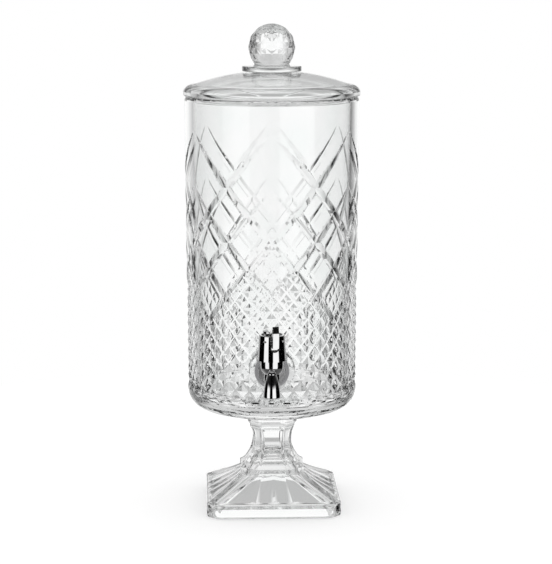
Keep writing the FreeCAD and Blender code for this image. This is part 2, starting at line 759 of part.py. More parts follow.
def make_spring_washer():
    """Steel washer that holds the stem's seal up and takes the spring's push."""
    washer = cylinder(chamber_bore_radius - spring_washer_gap, spring_top, bush_foot, y=chamber_y)
    hole_top = bush_foot + overcut
    return washer.cut(cylinder(stem_radius + seat_gap, spring_top - overcut, hole_top, y=chamber_y))


def make_valve_spring():
    """Compression spring from the stem's collar up to the washer.

    Each half turn is half a ring, tilted so that it starts and ends level and rises by half the pitch.
    """
    end_gap = spring_wire_radius + seat_gap / 2
    foot = collar_top + end_gap
    rise = (spring_top - end_gap - foot) / (2 * spring_turns)
    coil_radius = spring_radius - spring_wire_radius
    half_turns = []
    for count in range(2 * spring_turns):
        side = 1 if count % 2 == 0 else -1
        start = Vector(side * coil_radius, chamber_y, foot + count * rise)
        chord = Vector(-2 * side * coil_radius, 0, rise)
        wire_end = Part.Face(Part.Wire(Part.makeCircle(spring_wire_radius, start, axis_y)))
        half_turns.append(wire_end.revolve(start + chord / 2, chord.cross(axis_y * -side), 180))
    return half_turns[0].fuse(half_turns[1:]).Solids[0]


def make_valve_stem():
    """Steel stem: it carries the seat plug below and the cap above the lever's fork."""
    waist_top = cap_foot + cap_socket_depth - running_gap
    shaft = cylinder(stem_radius, plug_top - stem_socket_depth, waist_foot, y=chamber_y)
    collar = cylinder(spring_collar_radius, plug_top, collar_top, y=chamber_y)
    waist = cylinder(stem_waist_radius, waist_foot, waist_top, y=chamber_y)
    return shaft.fuse([collar, waist]).removeSplitter()


def make_stem_cap():
    """Cap screwed on the stem's top: the lever's fork lifts it."""
    cap = cylinder(cap_radius, cap_foot, cap_top, y=chamber_y)
    cap = edges_round(cap, cap_round, lambda e: level_circle(e, cap_top, cap_radius))
    socket_radius = stem_waist_radius + running_gap
    return cap.cut(cylinder(socket_radius, cap_foot - overcut, cap_foot + cap_socket_depth, y=chamber_y))


def make_seat_plug():
    """Silicone plug on the stem's foot: it closes the hole in the chamber's floor."""
    nose_top = seat_z + plug_nose_height
    nose = cone(plug_nose_radius, plug_radius, seat_z, nose_top, y=chamber_y)
    plug = nose.fuse(cylinder(plug_radius, nose_top, plug_top, y=chamber_y)).removeSplitter()
    socket_foot = plug_top - stem_socket_depth - running_gap
    return plug.cut(cylinder(stem_radius + running_gap, socket_foot, plug_top + overcut, y=chamber_y))


def make_shank_nut():
    """Hexagon nut that pulls the tap against the glass from inside."""
    corner = nut_across_flats / sqrt(3)
    ring = [radians(60 * i) for i in range(7)]
    points = [Vector(corner * cos(a), washer_y, tap_z + corner * sin(a)) for a in ring]
    hexagon = Part.Face(Part.makePolygon(points)).extrude(Vector(0, nut_height, 0))
    rounder = shank_cylinder(corner - nut_round / 2, washer_y, nut_y)
    rounder = edges_round(rounder, nut_round, lambda e: circle_at_y(e, nut_y))
    return hexagon.common(rounder).cut(shank_cylinder(shank_radius + thread_gap, washer_y, nut_y))


def main():
    shank_hole = shank_radius + seat_gap
    blank = make_vessel_blank()
    pieces = {
        "glass_vessel": make_glass_vessel(blank),
        "pedestal_foot": make_pedestal_foot(blank),
        "glass_lid": make_glass_lid(),
        "lid_knob": make_lid_knob(),
        "tap_body": make_tap_body(),
        "tap_barrel": make_tap_barrel(),
        "tap_lever": make_tap_lever(),
        "lever_pin": make_lever_pin(),
        "guide_bush": make_guide_bush(),
        "bush_seal": make_bush_seal(),
        "stem_seal": make_stem_seal(),
        "spring_washer": make_spring_washer(),
        "valve_spring": make_valve_spring(),
        "valve_stem": make_valve_stem(),
        "stem_cap": make_stem_cap(),
        "seat_plug": make_seat_plug(),
        "outer_gasket": ring_plate(shank_hole, outer_gasket_radius, flange_y, boss_y),
        "inner_gasket": ring_plate(shank_hole, inner_gasket_radius, inner_flat_y, inner_gasket_y),
        "clamp_washer": ring_plate(shank_hole, clamp_washer_radius, inner_gasket_y, washer_y),
        "shank_nut": make_shank_nut(),
    }
    os.makedirs("parts", exist_ok=True)
    for name, shape in pieces.items():
        shape.exportStep("parts/" + name + ".step")
        print(f"{name:15s} solids {len(shape.Solids)} valid {shape.isValid()} {shape.Volume / 1000:9.3f} cm3")
    hinge_y = chamber_y + pivot_y * cos(radians(barrel_turn))
    hinge_x = -pivot_y * sin(radians(barrel_turn))
    print(f"height {ball_z + ball_radius:.2f}, lever hinge at {hinge_x:.3f} {hinge_y:.3f} {pivot_z:.3f}")
    print(f"tap z {tap_z:.2f}, spout y {spout_y:.2f}, vessel floor {vessel_foot + floor_thickness:.2f}")
    print(f"spring top {spring_top:.3f}, lid seat {lid_seat:.2f}, rim {vessel_top:.2f}")


main()
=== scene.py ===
# %% [markdown]
# # A footed cut-glass juice dispenser
# The engineering model is loaded first and never moved. Everything made below is laid over it
# in the same frame, in metres. The long measures are written in millimetres, as on a drawing.

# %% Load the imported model
import json
from math import asin, cos, degrees, pi, radians, sin, sqrt

import bpy
import numpy as np
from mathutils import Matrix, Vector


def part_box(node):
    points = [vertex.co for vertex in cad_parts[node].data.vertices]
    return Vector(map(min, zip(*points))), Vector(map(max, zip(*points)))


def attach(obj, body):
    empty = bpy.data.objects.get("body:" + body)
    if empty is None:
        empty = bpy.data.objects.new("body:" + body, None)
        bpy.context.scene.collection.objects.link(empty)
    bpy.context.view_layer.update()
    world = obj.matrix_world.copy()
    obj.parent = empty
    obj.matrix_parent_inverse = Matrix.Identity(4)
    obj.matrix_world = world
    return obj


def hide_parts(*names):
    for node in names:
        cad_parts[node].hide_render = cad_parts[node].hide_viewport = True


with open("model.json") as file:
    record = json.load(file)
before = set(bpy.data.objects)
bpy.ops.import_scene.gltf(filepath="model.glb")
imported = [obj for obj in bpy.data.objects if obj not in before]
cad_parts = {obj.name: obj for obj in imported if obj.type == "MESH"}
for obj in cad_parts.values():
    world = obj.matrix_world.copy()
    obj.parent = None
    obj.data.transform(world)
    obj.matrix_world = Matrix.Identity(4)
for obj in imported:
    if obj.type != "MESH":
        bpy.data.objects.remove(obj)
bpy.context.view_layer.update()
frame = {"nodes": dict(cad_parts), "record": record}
nodes = frame["nodes"]


# %% Measures of the four glass parts
def extent(node):
    """Lowest and highest corner of a node of the engineering model, in millimetres."""
    low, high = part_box(node)
    return np.array([low, high]) * 1000


measured = {node: extent(node) for node in ("glass_vessel", "glass_lid", "lid_knob", "pedestal_foot")}
for node, corners in measured.items():
    print(node, "mm", corners.round(1).tolist())


def compare(piece, node):
    """Prints by how much a made piece's box differs from its node's box at most, in millimetres."""
    points = np.array([v.co for v in piece.data.vertices]) * 1000
    off = np.abs(np.array([points.min(0), points.max(0)]) - measured[node]).max()
    print(piece.name, "faces", len(piece.data.polygons), "box off by, mm", off.round(2))


# %% [markdown]
# ## The camera
# The dispenser was photographed from the front, from a little above its knob, with a long lens.
# A long lens could be copied by a near camera and a crop, but then the ellipses of rim and foot
# would open differently. So the camera stands at the true distance with the true focal length.

# %% Set the camera
camera = bpy.data.objects.new("studio_camera", bpy.data.cameras.new("studio_camera"))
bpy.context.scene.collection.objects.link(camera)
sensor_width, picture_width, focal_pixels = 36.0, 552, 1870.7
distance, eye_height = 1.7333, 0.5015
look_down, look_aside = 9.484, 0.128
camera.data.sensor_fit = "HORIZONTAL"
camera.data.sensor_width = sensor_width
camera.data.lens = sensor_width * focal_pixels / picture_width
camera.data.clip_end = 200.0
camera.location = (0.0, -distance, eye_height)
camera.rotation_euler = (radians(90 - look_down), 0.0, radians(-look_aside))
bpy.context.scene.camera = camera
print("focal length, mm", round(camera.data.lens, 1))

# %% [markdown]
# ## Light
# Clear glass has no colour of its own. It shows what stands round it, so a glass photographer
# puts a white wall behind and dark cards beside it: the cards draw the dark lines. Real cards
# could stand in the scene. The world's colour by direction does the same with less noise, and
# it lights the plain surfaces evenly whatever the cards do.


# %% Helpers for node trees
def add_node(tree, kind, place=(0, 0), **settings):
    """Adds one node. A setting is either a property of the node or, failing that, an input socket."""
    node = tree.nodes.new(kind)
    node.location = place
    for name, value in settings.items():
        if hasattr(node, name):
            setattr(node, name, value)
        else:
            node.inputs[name.replace("_", " ")].default_value = value
    return node


def grey(value):
    """A neutral colour."""
    return (value, value, value, 1)


def fill_ramp(node, stops):
    """Sets a colour ramp from pairs of position and grey level, in rising order."""
    elements = node.color_ramp.elements
    while len(elements) < len(stops):
        elements.new(0.5)
    for element, (position, level) in zip(elements, stops):
        element.position = position
        element.color = grey(level)


def blend_colours(tree, share, first, second):
    """Mixes two colours, each a socket or a plain colour, and returns the result's socket."""
    mix = add_node(tree, "ShaderNodeMix", data_type="RGBA")
    tree.links.new(share, mix.inputs[0])
    for socket, value in ((mix.inputs[6], first), (mix.inputs[7], second)):
        if isinstance(value, tuple):
            socket.default_value = value
        else:
            tree.links.new(value, socket)
    return mix.outputs[2]


# %% The dark cards and white walls, by compass direction
def round_the_object(left, right):
    """Joins the stops of the left and right side, as degrees from the front and grey, into one circle."""
    stops = [(0.5 - angle / 360, level) for angle, level in reversed(left)]
    return stops + [(0.5 + angle / 360, level) for angle, level in right]


through_floor = round_the_object(
    [(0, 0.62), (60, 0.66), (80, 0.35), (105, 0.3), (130, 0.45), (150, 0.75), (165, 0.78), (176, 0.35)],
    [(30, 0.5), (70, 0.65), (100, 0.72), (140, 0.85), (160, 0.7), (174, 0.15), (180, 0.1)],
)
through_low = round_the_object(
    [(0, 0.4), (30, 0.5), (60, 0.5), (75, 0.1), (120, 0.0), (130, 0.6), (150, 0.65), (165, 0.7),
     (174, 0.9)],
    [(10, 0.15), (30, 0.4), (62, 0.4), (80, 0.1), (122, 0.1), (135, 0.6), (150, 0.6), (165, 0.55),
     (173, 0.75), (180, 0.9)],
)
through_table = round_the_object(
    [(0, 0.4), (25, 0.55), (60, 0.35), (75, 0.0), (122, 0.0), (132, 0.75), (150, 0.8), (158, 1.05),
     (170, 1.05), (174, 0.5), (180, 0.5)],
    [(12, 0.2), (25, 0.45), (62, 0.4), (72, 0.0), (124, 0.0), (135, 0.55), (150, 0.6), (160, 1.05),
     (170, 1.05), (174, 0.5)],
)
through_wall = round_the_object(
    [(10, 0.25), (31, 0.55), (62, 0.5), (72, 0.02), (122, 0.0), (134, 0.55), (148, 0.75),
     (157, 1.05), (180, 1.05)],
    [(9, 0.12), (12, 0.4), (56, 0.45), (66, 0.05), (124, 0.0), (138, 0.25), (150, 0.6),
     (158, 1.0), (165, 1.05)],
)
through_high = round_the_object(
    [(0, 0.05), (60, 0.28), (90, 0.38), (122, 0.42), (140, 0.6), (158, 0.75), (168, 0.7), (180, 0.6)],
    [(30, 0.04), (70, 0.12), (90, 0.3), (122, 0.3), (140, 0.7), (158, 0.7), (172, 0.62)],
)
gloss_wall = round_the_object(
    [(28, 0.0), (30, 1.0), (66, 1.0), (68, 0.0), (124, 0.0), (134, 0.5), (150, 0.7), (157, 1.0),
     (180, 1.0)],
    [(9, 0.0), (11, 1.0), (57, 1.0), (59, 0.0), (126, 0.0), (138, 0.3), (152, 0.6), (158, 1.0)],
)
gloss_high = round_the_object([(0, 0.0), (90, 0.02), (130, 0.4), (180, 0.55)], [(90, 0.02), (130, 0.4)])
gloss_low = round_the_object([(0, 0.05), (90, 0.1), (180, 0.6)], [(90, 0.1)])
gloss_floor = round_the_object([(0, 0.0), (90, 0.1), (180, 0.5)], [(90, 0.1)])
in_gloss = (gloss_floor, gloss_low, gloss_wall, gloss_wall, gloss_high)
through_glass = (through_floor, through_low, through_table, through_wall, through_high)
overhead_gloss, overhead_through, on_plain_surfaces = 0.3, 0.8, 0.95
belt_edges = ((-0.8, -0.68), (-0.46, -0.38), (-0.28, -0.22), (0.03, 0.16), (0.6, 0.8))
print("stops round the circle", len(through_wall), len(gloss_wall))


# %% Build the world
def build_world():
    """Colour by direction: the compass angle picks a grey on each of five belts, from the floor up."""
    world = bpy.data.worlds.new("glass_studio")
    world.use_nodes = True
    tree = world.node_tree
    tree.nodes.clear()
    link = tree.links.new
    where = add_node(tree, "ShaderNodeTexCoord")
    parts = add_node(tree, "ShaderNodeSeparateXYZ")
    link(where.outputs["Generated"], parts.inputs[0])
    back = add_node(tree, "ShaderNodeMath", operation="MULTIPLY")
    back.inputs[1].default_value = -1.0
    link(parts.outputs["Y"], back.inputs[0])
    angle = add_node(tree, "ShaderNodeMath", operation="ARCTAN2")
    link(parts.outputs["X"], angle.inputs[0])
    link(back.outputs[0], angle.inputs[1])
    turn = add_node(tree, "ShaderNodeMapRange")
    turn.inputs["From Min"].default_value = -pi
    turn.inputs["From Max"].default_value = pi
    link(angle.outputs[0], turn.inputs["Value"])
    belts = []
    for low, high in belt_edges:
        belt = add_node(tree, "ShaderNodeMapRange", interpolation_type="SMOOTHSTEP")
        belt.inputs["From Min"].default_value = low
        belt.inputs["From Max"].default_value = high
        link(parts.outputs["Z"], belt.inputs["Value"])
        belts.append(belt.outputs[0])
    views = []
    for stops, overhead in ((in_gloss, overhead_gloss), (through_glass, overhead_through)):
        ramps = []
        for belt_stops in stops:
            ramp = add_node(tree, "ShaderNodeValToRGB")
            fill_ramp(ramp, belt_stops)
            link(turn.outputs[0], ramp.inputs[0])
            ramps.append(ramp.outputs[0])
        colour = ramps[0]
        for belt, upper in zip(belts, ramps[1:] + [grey(overhead)]):
            colour = blend_colours(tree, belt, colour, upper)
        views.append(colour)
    rays = add_node(tree, "ShaderNodeLightPath")
    colour = grey(on_plain_surfaces)
    for view, flag in zip(views, ("Is Glossy Ray", "Is Transmission Ray")):
        colour = blend_colours(tree, rays.outputs[flag], colour, view)
    seen = blend_colours(tree, rays.outputs["Is Camera Ray"], colour, grey(1.0))
    background = add_node(tree, "ShaderNodeBackground")
    link(seen, background.inputs["Color"])
    out = add_node(tree, "ShaderNodeOutputWorld")
    link(background.outputs[0], out.inputs["Surface"])
    bpy.context.scene.world = world


build_world()
bpy.context.scene.view_settings.view_transform = "Standard"
cycles = bpy.context.scene.cycles
through_bounces, mirror_bounces = 28, 10
cycles.max_bounces = through_bounces
cycles.transmission_bounces = through_bounces
cycles.glossy_bounces = mirror_bounces
print("bounces", cycles.max_bounces)


# %% [markdown]
# ## Surfaces as grids
# Clear glass shows every flaw of the surface behind it. So each glass part is one closed skin of
# points in rows round the axis, from a pole below, up the outside, to a pole above or inside.
# Solids could be joined instead, but where their faces cross, light is caught in thin slivers.


# %% Grid to mesh
def put_mesh(name, points, faces, smooth=True, sharp_angle=None):
    """Makes an object from points in millimetres and a list or array of faces."""
    mesh = bpy.data.meshes.new(name)
    mesh.from_pydata((np.asarray(points) / 1000).tolist(), [], [list(f) for f in faces])
    mesh.validate()
    mesh.polygons.foreach_set("use_smooth", np.full(len(mesh.polygons), smooth))
    if sharp_angle is not None:
        mesh.set_sharp_from_angle(angle=radians(sharp_angle))
    piece = bpy.data.objects.new(name, mesh)
    bpy.context.scene.collection.objects.link(piece)
    return piece


def tube_faces(rows, columns, valley=None):
    """Faces of a grid that closes on itself sideways, rows from below to above seen from outside.

    A quad is split along the diagonal whose ends lie deeper, where valley gives the depth of each
    point, so that a groove that runs across the quads stays a straight line.
    """
    i = np.arange(rows - 1)[:, None] * columns
    j = np.arange(columns)[None, :]
    k = (j + 1) % columns
    a, b, c, d = i + j, i + k, i + columns + k, i + columns + j
    if valley is None:
        return np.stack([a, b, c, d], -1).reshape(-1, 4)
    depth = valley.reshape(-1)
    rising = (depth[a] + depth[c]) >= (depth[b] + depth[d])
    first = np.where(rising[..., None], np.stack([a, b, c], -1), np.stack([a, b, d], -1))
    second = np.where(rising[..., None], np.stack([a, c, d], -1), np.stack([b, c, d], -1))
    return np.concatenate([first.reshape(-1, 3), second.reshape(-1, 3)])


def fan(ring, pole, up):
    """Triangles from one ring of points to a pole, facing up or down."""
    following = np.roll(ring, -1)
    tips = np.full(len(ring), pole)
    order = (ring, following, tips) if up else (following, ring, tips)
    return np.stack(order, -1)


def closed_skin(name, grid, poles, sharp_angle, valley=None):
    """One object from rows of points that run from the first pole up the outside to the last pole."""
    columns = grid.shape[1]
    points = grid.reshape(-1, 3)
    count = len(points)
    faces = tube_faces(len(grid), columns, valley).tolist()
    faces += fan(np.arange(columns), count, False).tolist()
    faces += fan(np.arange(columns) + count - columns, count + 1, True).tolist()
    return put_mesh(name, np.concatenate([points, poles]), faces, True, sharp_angle)


# %% Arcs and turned shapes
def arc_points(centre, radius, start, end, count):
    """Points on a circle in the plane of radius and height, angles in degrees from outward."""
    angles = np.radians(np.linspace(start, end, count))
    return np.stack([centre[0] + radius * np.cos(angles), centre[1] + radius * np.sin(angles)], -1)


def bowed(low, high, bow, count):
    """Points from one end to the other on a shallow parabola that bows to the right of the way."""
    low, high = np.array(low, float), np.array(high, float)
    t = np.linspace(0, 1, count)[:, None]
    along = high - low
    side = np.array([along[1], -along[0]]) / np.hypot(*along)
    return low + along * t + side * (4 * bow * t * (1 - t))


def lathe_points(profile, columns, relief=None):
    """Points of a turned shape as rows by columns by three.

    Each (radius, height) point goes round its circle; relief, where given, is taken off the radius.
    """
    turn = np.arange(columns) * 2 * pi / columns
    radius = np.repeat(profile[:, :1], columns, 1)
    if relief is not None:
        radius = radius - relief
    height = np.repeat(profile[:, 1:], columns, 1)
    return np.stack([radius * np.sin(turn), -radius * np.cos(turn), height], -1)


def turned_piece(name, profile, columns, relief=None, sharp_angle=30):
    """Turns a profile that runs from the lower pole up the outside to the upper pole."""
    profile = np.asarray(profile, float)
    poles = [(0, 0, profile[0, 1]), (0, 0, profile[-1, 1])]
    return closed_skin(name, lathe_points(profile[1:-1], columns, relief), poles, sharp_angle, relief)


def turned_ring(name, profile, columns, sharp_angle=30):
    """Turns a closed profile, given counter-clockwise with the axis on its left side."""
    profile = np.asarray(profile, float)
    points = lathe_points(profile, columns).reshape(-1, 3)
    faces = tube_faces(len(profile) + 1, columns) % len(points)
    return put_mesh(name, points, faces, True, sharp_angle)


# %% [markdown]
# ## The vessel
# The real vessel is a thick tumbler pressed in a mould. Small diamonds cover its lower part, and
# large V cuts cross over them and frame plain fields higher up. The facets could be cut one by one
# out of a plain wall, or a bump could fake them, but only true slopes bend the light into the
# dark and bright lines that the eye looks for. So the depth of the cutting is a formula of the
# place, and the grid's rows and columns lie where the diamonds have their edges.

# %% Vessel: the plain shape
vessel_foot, vessel_top = 85.0, 386.3
wall, floor_thickness = 8.0, 14.0
foot_radius, top_radius, wall_start = 79.2, 80.8, 107.0
outer_corner, inner_corner, rim_round = 18.0, 14.0, 3.4
dish_radius = 225.0


def dished(radius, corner, pole_z, dish_count, corner_count):
    """Profile of a dished bottom from its pole to its side: a wide dish, then a small corner arc."""
    lean = asin((radius - corner) / (dish_radius - corner))
    centre_z = pole_z + dish_radius
    corner_z = centre_z - (dish_radius - corner) * cos(lean)
    dish = arc_points((0, centre_z), dish_radius, -90, degrees(lean) - 90, dish_count)
    bend = arc_points((radius - corner, corner_z), corner, degrees(lean) - 90, 0, corner_count)
    return np.concatenate([dish, bend[1:]])


def wall_radius(z):
    """Outer radius of the plain wall: it widens evenly from the bottom's corner to the rim."""
    return foot_radius + (top_radius - foot_radius) * (z - wall_start) / (vessel_top - wall_start)


def plain_rows():
    """Rows of the profile below the cutting, and above it: over the rim and down the inside."""
    below = dished(foot_radius, outer_corner, vessel_foot, 9, 8)[1:]
    outside = [(wall_radius(z), z) for z in (366.0, 375.0)]
    round_z = vessel_top - rim_round
    rim_outside = arc_points((top_radius - rim_round, round_z), rim_round, 0, 90, 5)
    rim_inside = arc_points((top_radius - wall + rim_round, round_z), rim_round, 90, 180, 5)
    inside = [(wall_radius(z) - wall, z) for z in (320.0, 250.0, 180.0)]
    bottom = dished(foot_radius - wall, inner_corner, vessel_foot + floor_thickness, 6, 6)[1:][::-1]
    return below, np.concatenate([outside, rim_outside, rim_inside, inside, bottom])


print("plain rows below and above the cutting", [len(rows) for rows in plain_rows()])

# %% Vessel: the cut pattern
columns, steps = 432, 12
diamond_turn, diamond_rise = 10.0, 16.59
pattern_turn, pattern_z = -0.32, 189.95
cut_start, cut_end, fade_in = 114.0, 361.0, 3.0
small_depth, groove_flat = 2.0, 1 / 6
large_depth, large_half, least_share = 1.8, 4 / 12, 0.02
large_every, large_shift = 3, 14 / 12
large_tops, large_run_out = (358.6, 308.8), 42.0
large_feet, large_run_in = (184.6, 195.0), 12.0


def small_cuts(p, q):
    """Depth of the small diamonds, low pyramids between four grooves.

    The height grows with the distance to the nearest groove, from the edge of its flat bottom on.
    """
    to_p = np.abs(p - np.floor(p) - 0.5)
    to_q = np.abs(q - np.floor(q) - 0.5)
    height = 2 * np.minimum(to_p, to_q)
    return small_depth * (1 - np.clip((height - groove_flat) * 6 / 5, 0, 1))


def large_cut(cell, lowest, z):
    """Depth of the V grooves on the whole numbers of cell, which run out above and below.

    Above, they end at two heights by turns. Below, every third of them reaches lower.
    """
    line = np.round(cell)
    top = np.where(np.mod(line, 2) == 1, *large_tops)
    upper = np.clip((top - z) / large_run_out, 0, 1)
    foot = np.where(np.mod(line - lowest, 3) == 0, *large_feet)
    lower = np.clip((z - foot + large_run_in / 2) / large_run_in, 0, 1)
    share = np.minimum(upper, lower)
    away = np.abs(cell - line) * large_every
    width = large_half * np.maximum(share, least_share)
    return large_depth * share * np.clip(1 - away / width, 0, 1)


def cut_depth(i, j):
    """Depth of the cutting at column i and row j of the pattern's own grid, in millimetres.

    p and q count the diamonds along the two slanting directions. A large cut lies on every third
    diamond line, moved by a part of a diamond. The fields between large cuts are plain from the
    second row of fields on, and so is every third field of the first row.
    """
    z = pattern_z + j * diamond_rise / steps
    p, q = (i + j) / steps, (i - j) / steps
    cell_p, cell_q = (p - large_shift) / large_every, (q + large_shift) / large_every
    across = np.floor(cell_p) + np.floor(cell_q) + 1
    level = np.floor(cell_p) - np.floor(cell_q)
    plain = (level > 0) | ((level == 0) & (np.mod(across, 6) == 3))
    small = np.where(plain, 0.0, small_cuts(p, q))
    large = np.maximum(large_cut(cell_p, 1, z), large_cut(cell_q, 2, z))
    fade = np.clip((z - cut_start) / fade_in, 0, 1)
    return np.maximum(small * fade, large)


print("diamonds round the vessel", round(360 / diamond_turn), "columns for each", steps)

# %% Vessel: put the surface together
tap_z = 144.5
boss_y, boss_radius, boss_blend = 82.0, 19.0, 1.6
between_skins, front_cosine, least_cosine = 75, 0.8, 0.2
facet_angle = 4.5


def with_boss(radius, height, turn):
    """Raises the flat round boss for the tap: inside its edge the wall is pushed out to one plane."""
    x = radius * np.sin(turn)
    away = np.hypot(x, height - tap_z)
    flat = boss_y / np.maximum(np.cos(turn), least_cosine)
    front = (np.cos(turn) > front_cosine) & (radius > between_skins)
    share = np.where(front, np.clip((boss_radius + boss_blend - away) / boss_blend, 0, 1), 0)
    return radius + (flat - radius) * share


def build_vessel():
    """One closed skin: under the bottom, up the cut wall, over the rim and down the smooth inside."""
    first = int(np.ceil((cut_start - pattern_z) * steps / diamond_rise))
    last = int(np.floor((cut_end - pattern_z) * steps / diamond_rise))
    j = np.arange(first, last + 1)
    i = np.arange(columns)
    turn = np.radians(pattern_turn + i * diamond_turn / steps)
    z = pattern_z + j * diamond_rise / steps
    depth = cut_depth(i[None, :], j[:, None])
    below, above = (np.repeat(rows[:, None, :], columns, 1) for rows in plain_rows())
    cut = np.stack([wall_radius(z)[:, None] - depth, np.repeat(z[:, None], columns, 1)], -1)
    skin = np.concatenate([below, cut, above])
    height = skin[..., 1]
    radius = with_boss(skin[..., 0], height, turn)
    grid = np.stack([radius * np.sin(turn), -radius * np.cos(turn), height], -1)
    valley = np.zeros(radius.shape)
    valley[len(below):len(below) + len(cut)] = depth
    poles = [(0, 0, vessel_foot), (0, 0, vessel_foot + floor_thickness)]
    return closed_skin("cut_vessel", grid, poles, facet_angle, valley)


vessel = build_vessel()
compare(vessel, "glass_vessel")

# %% Vessel: the hole for the tap
hole_radius, flat_radius = 8.4, 14.0
bar_front, flat_y, bar_back = -84.0, -71.62, -66.0


def cut_out(piece, cutter):
    """Cuts a closed piece out of another and throws the cutter away."""
    carve = piece.modifiers.new("cut out", "BOOLEAN")
    carve.object, carve.operation, carve.solver = cutter, "DIFFERENCE", "MANIFOLD"
    solved = piece.evaluated_get(bpy.context.evaluated_depsgraph_get())
    mesh = bpy.data.meshes.new_from_object(solved)
    mesh.materials.clear()
    mesh.polygons.foreach_set("material_index", np.zeros(len(mesh.polygons), int))
    piece.modifiers.clear()
    piece.data = mesh
    bpy.data.objects.remove(cutter)
    print(piece.name, "triangles after the cut", sum(len(p.vertices) - 2 for p in mesh.polygons))


def shank_cutter():
    """A stepped round bar: the hole for the tap's shank, and the flat for the gasket inside.

    It is turned upright and then laid along the tap's axis, with its lower end to the front.
    """
    profile = [(0, bar_front), (hole_radius, bar_front), (hole_radius, flat_y),
               (flat_radius, flat_y), (flat_radius, bar_back), (0, bar_back)]
    bar = turned_piece("shank_cutter", profile, 96)
    points = np.array([v.co for v in bar.data.vertices])
    points = points[:, [0, 2, 1]] * [1, 1, -1] + [0, 0, tap_z / 1000]
    bar.data.vertices.foreach_set("co", points.ravel())
    return bar


cut_out(vessel, shank_cutter())
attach(vessel, "stand")
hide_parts("glass_vessel")


# %% [markdown]
# ## The lid
# The lid is a pressed dome with a bowed shoulder and a rounded rim that rests on the vessel. A lip
# underneath keeps it from sliding off, and a hole in the middle takes the knob's spigot. It could
# be a dome with a rim added, but it is round all over, so one closed outline is turned, as the
# mould maker draws it.

# %% Lid
lid_seat, lid_radius, lid_round, lid_edge = 386.5, 82.0, 2.0, 4.6
crown_z, dome_radius, dome_glass = 409.7, 218.7, 5.5
shoulder_in, shoulder_up, shoulder_bow = 9.4, 10.8, 1.7
knob_hole, lip_radius, lip_wall, lip_drop, lip_round = 17.9, 72.1, 4.2, 3.2, 1.8


def lid_profile():
    """Closed outline of the lid's ring: the dome's underside, lip, rounded rim, bowed shoulder and dome."""
    shoulder = (lid_radius - shoulder_in, lid_seat + shoulder_up)
    under = dome_radius - dome_glass
    centre_z = crown_z - dome_radius
    lip_inside, lip_z = lip_radius - lip_wall, lid_seat - lip_drop
    lean = degrees(asin(shoulder[0] / dome_radius))
    lean_hole = degrees(asin(knob_hole / dome_radius))
    under_lean = degrees(asin(lip_inside / under))
    under_hole = degrees(asin(knob_hole / under))
    return np.concatenate([
        arc_points((0, centre_z), under, 90 - under_hole, 90 - under_lean, 16),
        arc_points((lip_inside + lip_round, lip_z), lip_round, 180, 270, 9),
        arc_points((lip_radius - lip_round, lip_z), lip_round, 270, 360, 9),
        [(lip_radius, lid_seat)],
        arc_points((lid_radius - lid_round, lid_seat + lid_round), lid_round, 270, 360, 7),
        bowed((lid_radius, lid_seat + lid_edge), shoulder, shoulder_bow, 12),
        arc_points((0, centre_z), dome_radius, 90 - lean, 90 - lean_hole, 22)[1:],
    ])


lid = turned_ring("domed_lid", lid_profile(), 192, 20)
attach(lid, "lid")
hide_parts("glass_lid")
compare(lid, "glass_lid")


# %% [markdown]
# ## The knob
# A glass ball with small pyramids pressed into it, on a short hollow waist and a round flange. A
# spigot below the flange is cemented into the lid. The pyramids could be modelled one by one. Here
# they are a relief taken off a turned ball: two sets of grooves that slant round it and cross.

# %% Knob
spigot_radius, spigot_z = 17.8, 402.6
flange_radius, flange_z, flange_top, flange_round = 27.5, 409.15, 413.75, 0.9
waist_radius, waist_top, waist_bow = 17.3, 417.3, -1.1
ball_z, ball_radius, ball_from, relief_from = 430.95, 21.7, -37.0, 418.2
pyramids_round, pyramid_rise, pyramid_height = 24, 14.0, 0.75
lowest_pyramid, fade_below, highest_pyramid, fade_above = -2.6, 0.6, 6.2, 2.5


def build_knob():
    """A ball covered with small low pyramids, on a hollow waist, a flange and a spigot."""
    knob_columns = 168
    flange_bend = flange_radius - flange_round
    profile = np.concatenate([
        [(0, spigot_z), (spigot_radius, spigot_z), (spigot_radius, flange_z)],
        arc_points((flange_bend, flange_z + flange_round), flange_round, -90, 0, 5),
        arc_points((flange_bend, flange_top - flange_round), flange_round, 0, 90, 5),
        bowed((waist_radius, flange_top), (waist_radius, waist_top), waist_bow, 9),
        arc_points((0, ball_z), ball_radius, ball_from, 90, 56)[1:],
    ])
    z = profile[1:-1, 1]
    turn = np.arange(knob_columns) / knob_columns * pyramids_round
    rise = np.degrees(np.arcsin(np.clip((z - ball_z) / ball_radius, -1, 1)))[:, None] / pyramid_rise
    p, q = turn / 2 + rise / 2, turn / 2 - rise / 2
    height = 2 * np.minimum(np.abs(p - np.floor(p) - 0.5), np.abs(q - np.floor(q) - 0.5))
    below = np.clip((rise - lowest_pyramid) / fade_below, 0, 1)
    above = np.clip((highest_pyramid - rise) / fade_above, 0, 1)
    relief = pyramid_height * (1 - height) * below * above * (z > relief_from)[:, None]
    return turned_piece("ball_knob", profile, knob_columns, relief, 12)


knob = build_knob()
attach(knob, "lid")
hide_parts("lid_knob")
compare(knob, "lid_knob")


# %% [markdown]
# ## The foot
# The vessel stands on a square plinth with clipped corners. A fluted skirt climbs from it to a
# narrow ledge, and a waisted square stem carries the vessel. All of it is pressed in one mould, and
# it is hollow underneath. Flat solids could be stacked and rounded, but every level is the same
# figure, a square with clipped corners, so the foot is that figure row by row, at the widths that
# the arcs give. Flutes and beads then move the surface in or out.

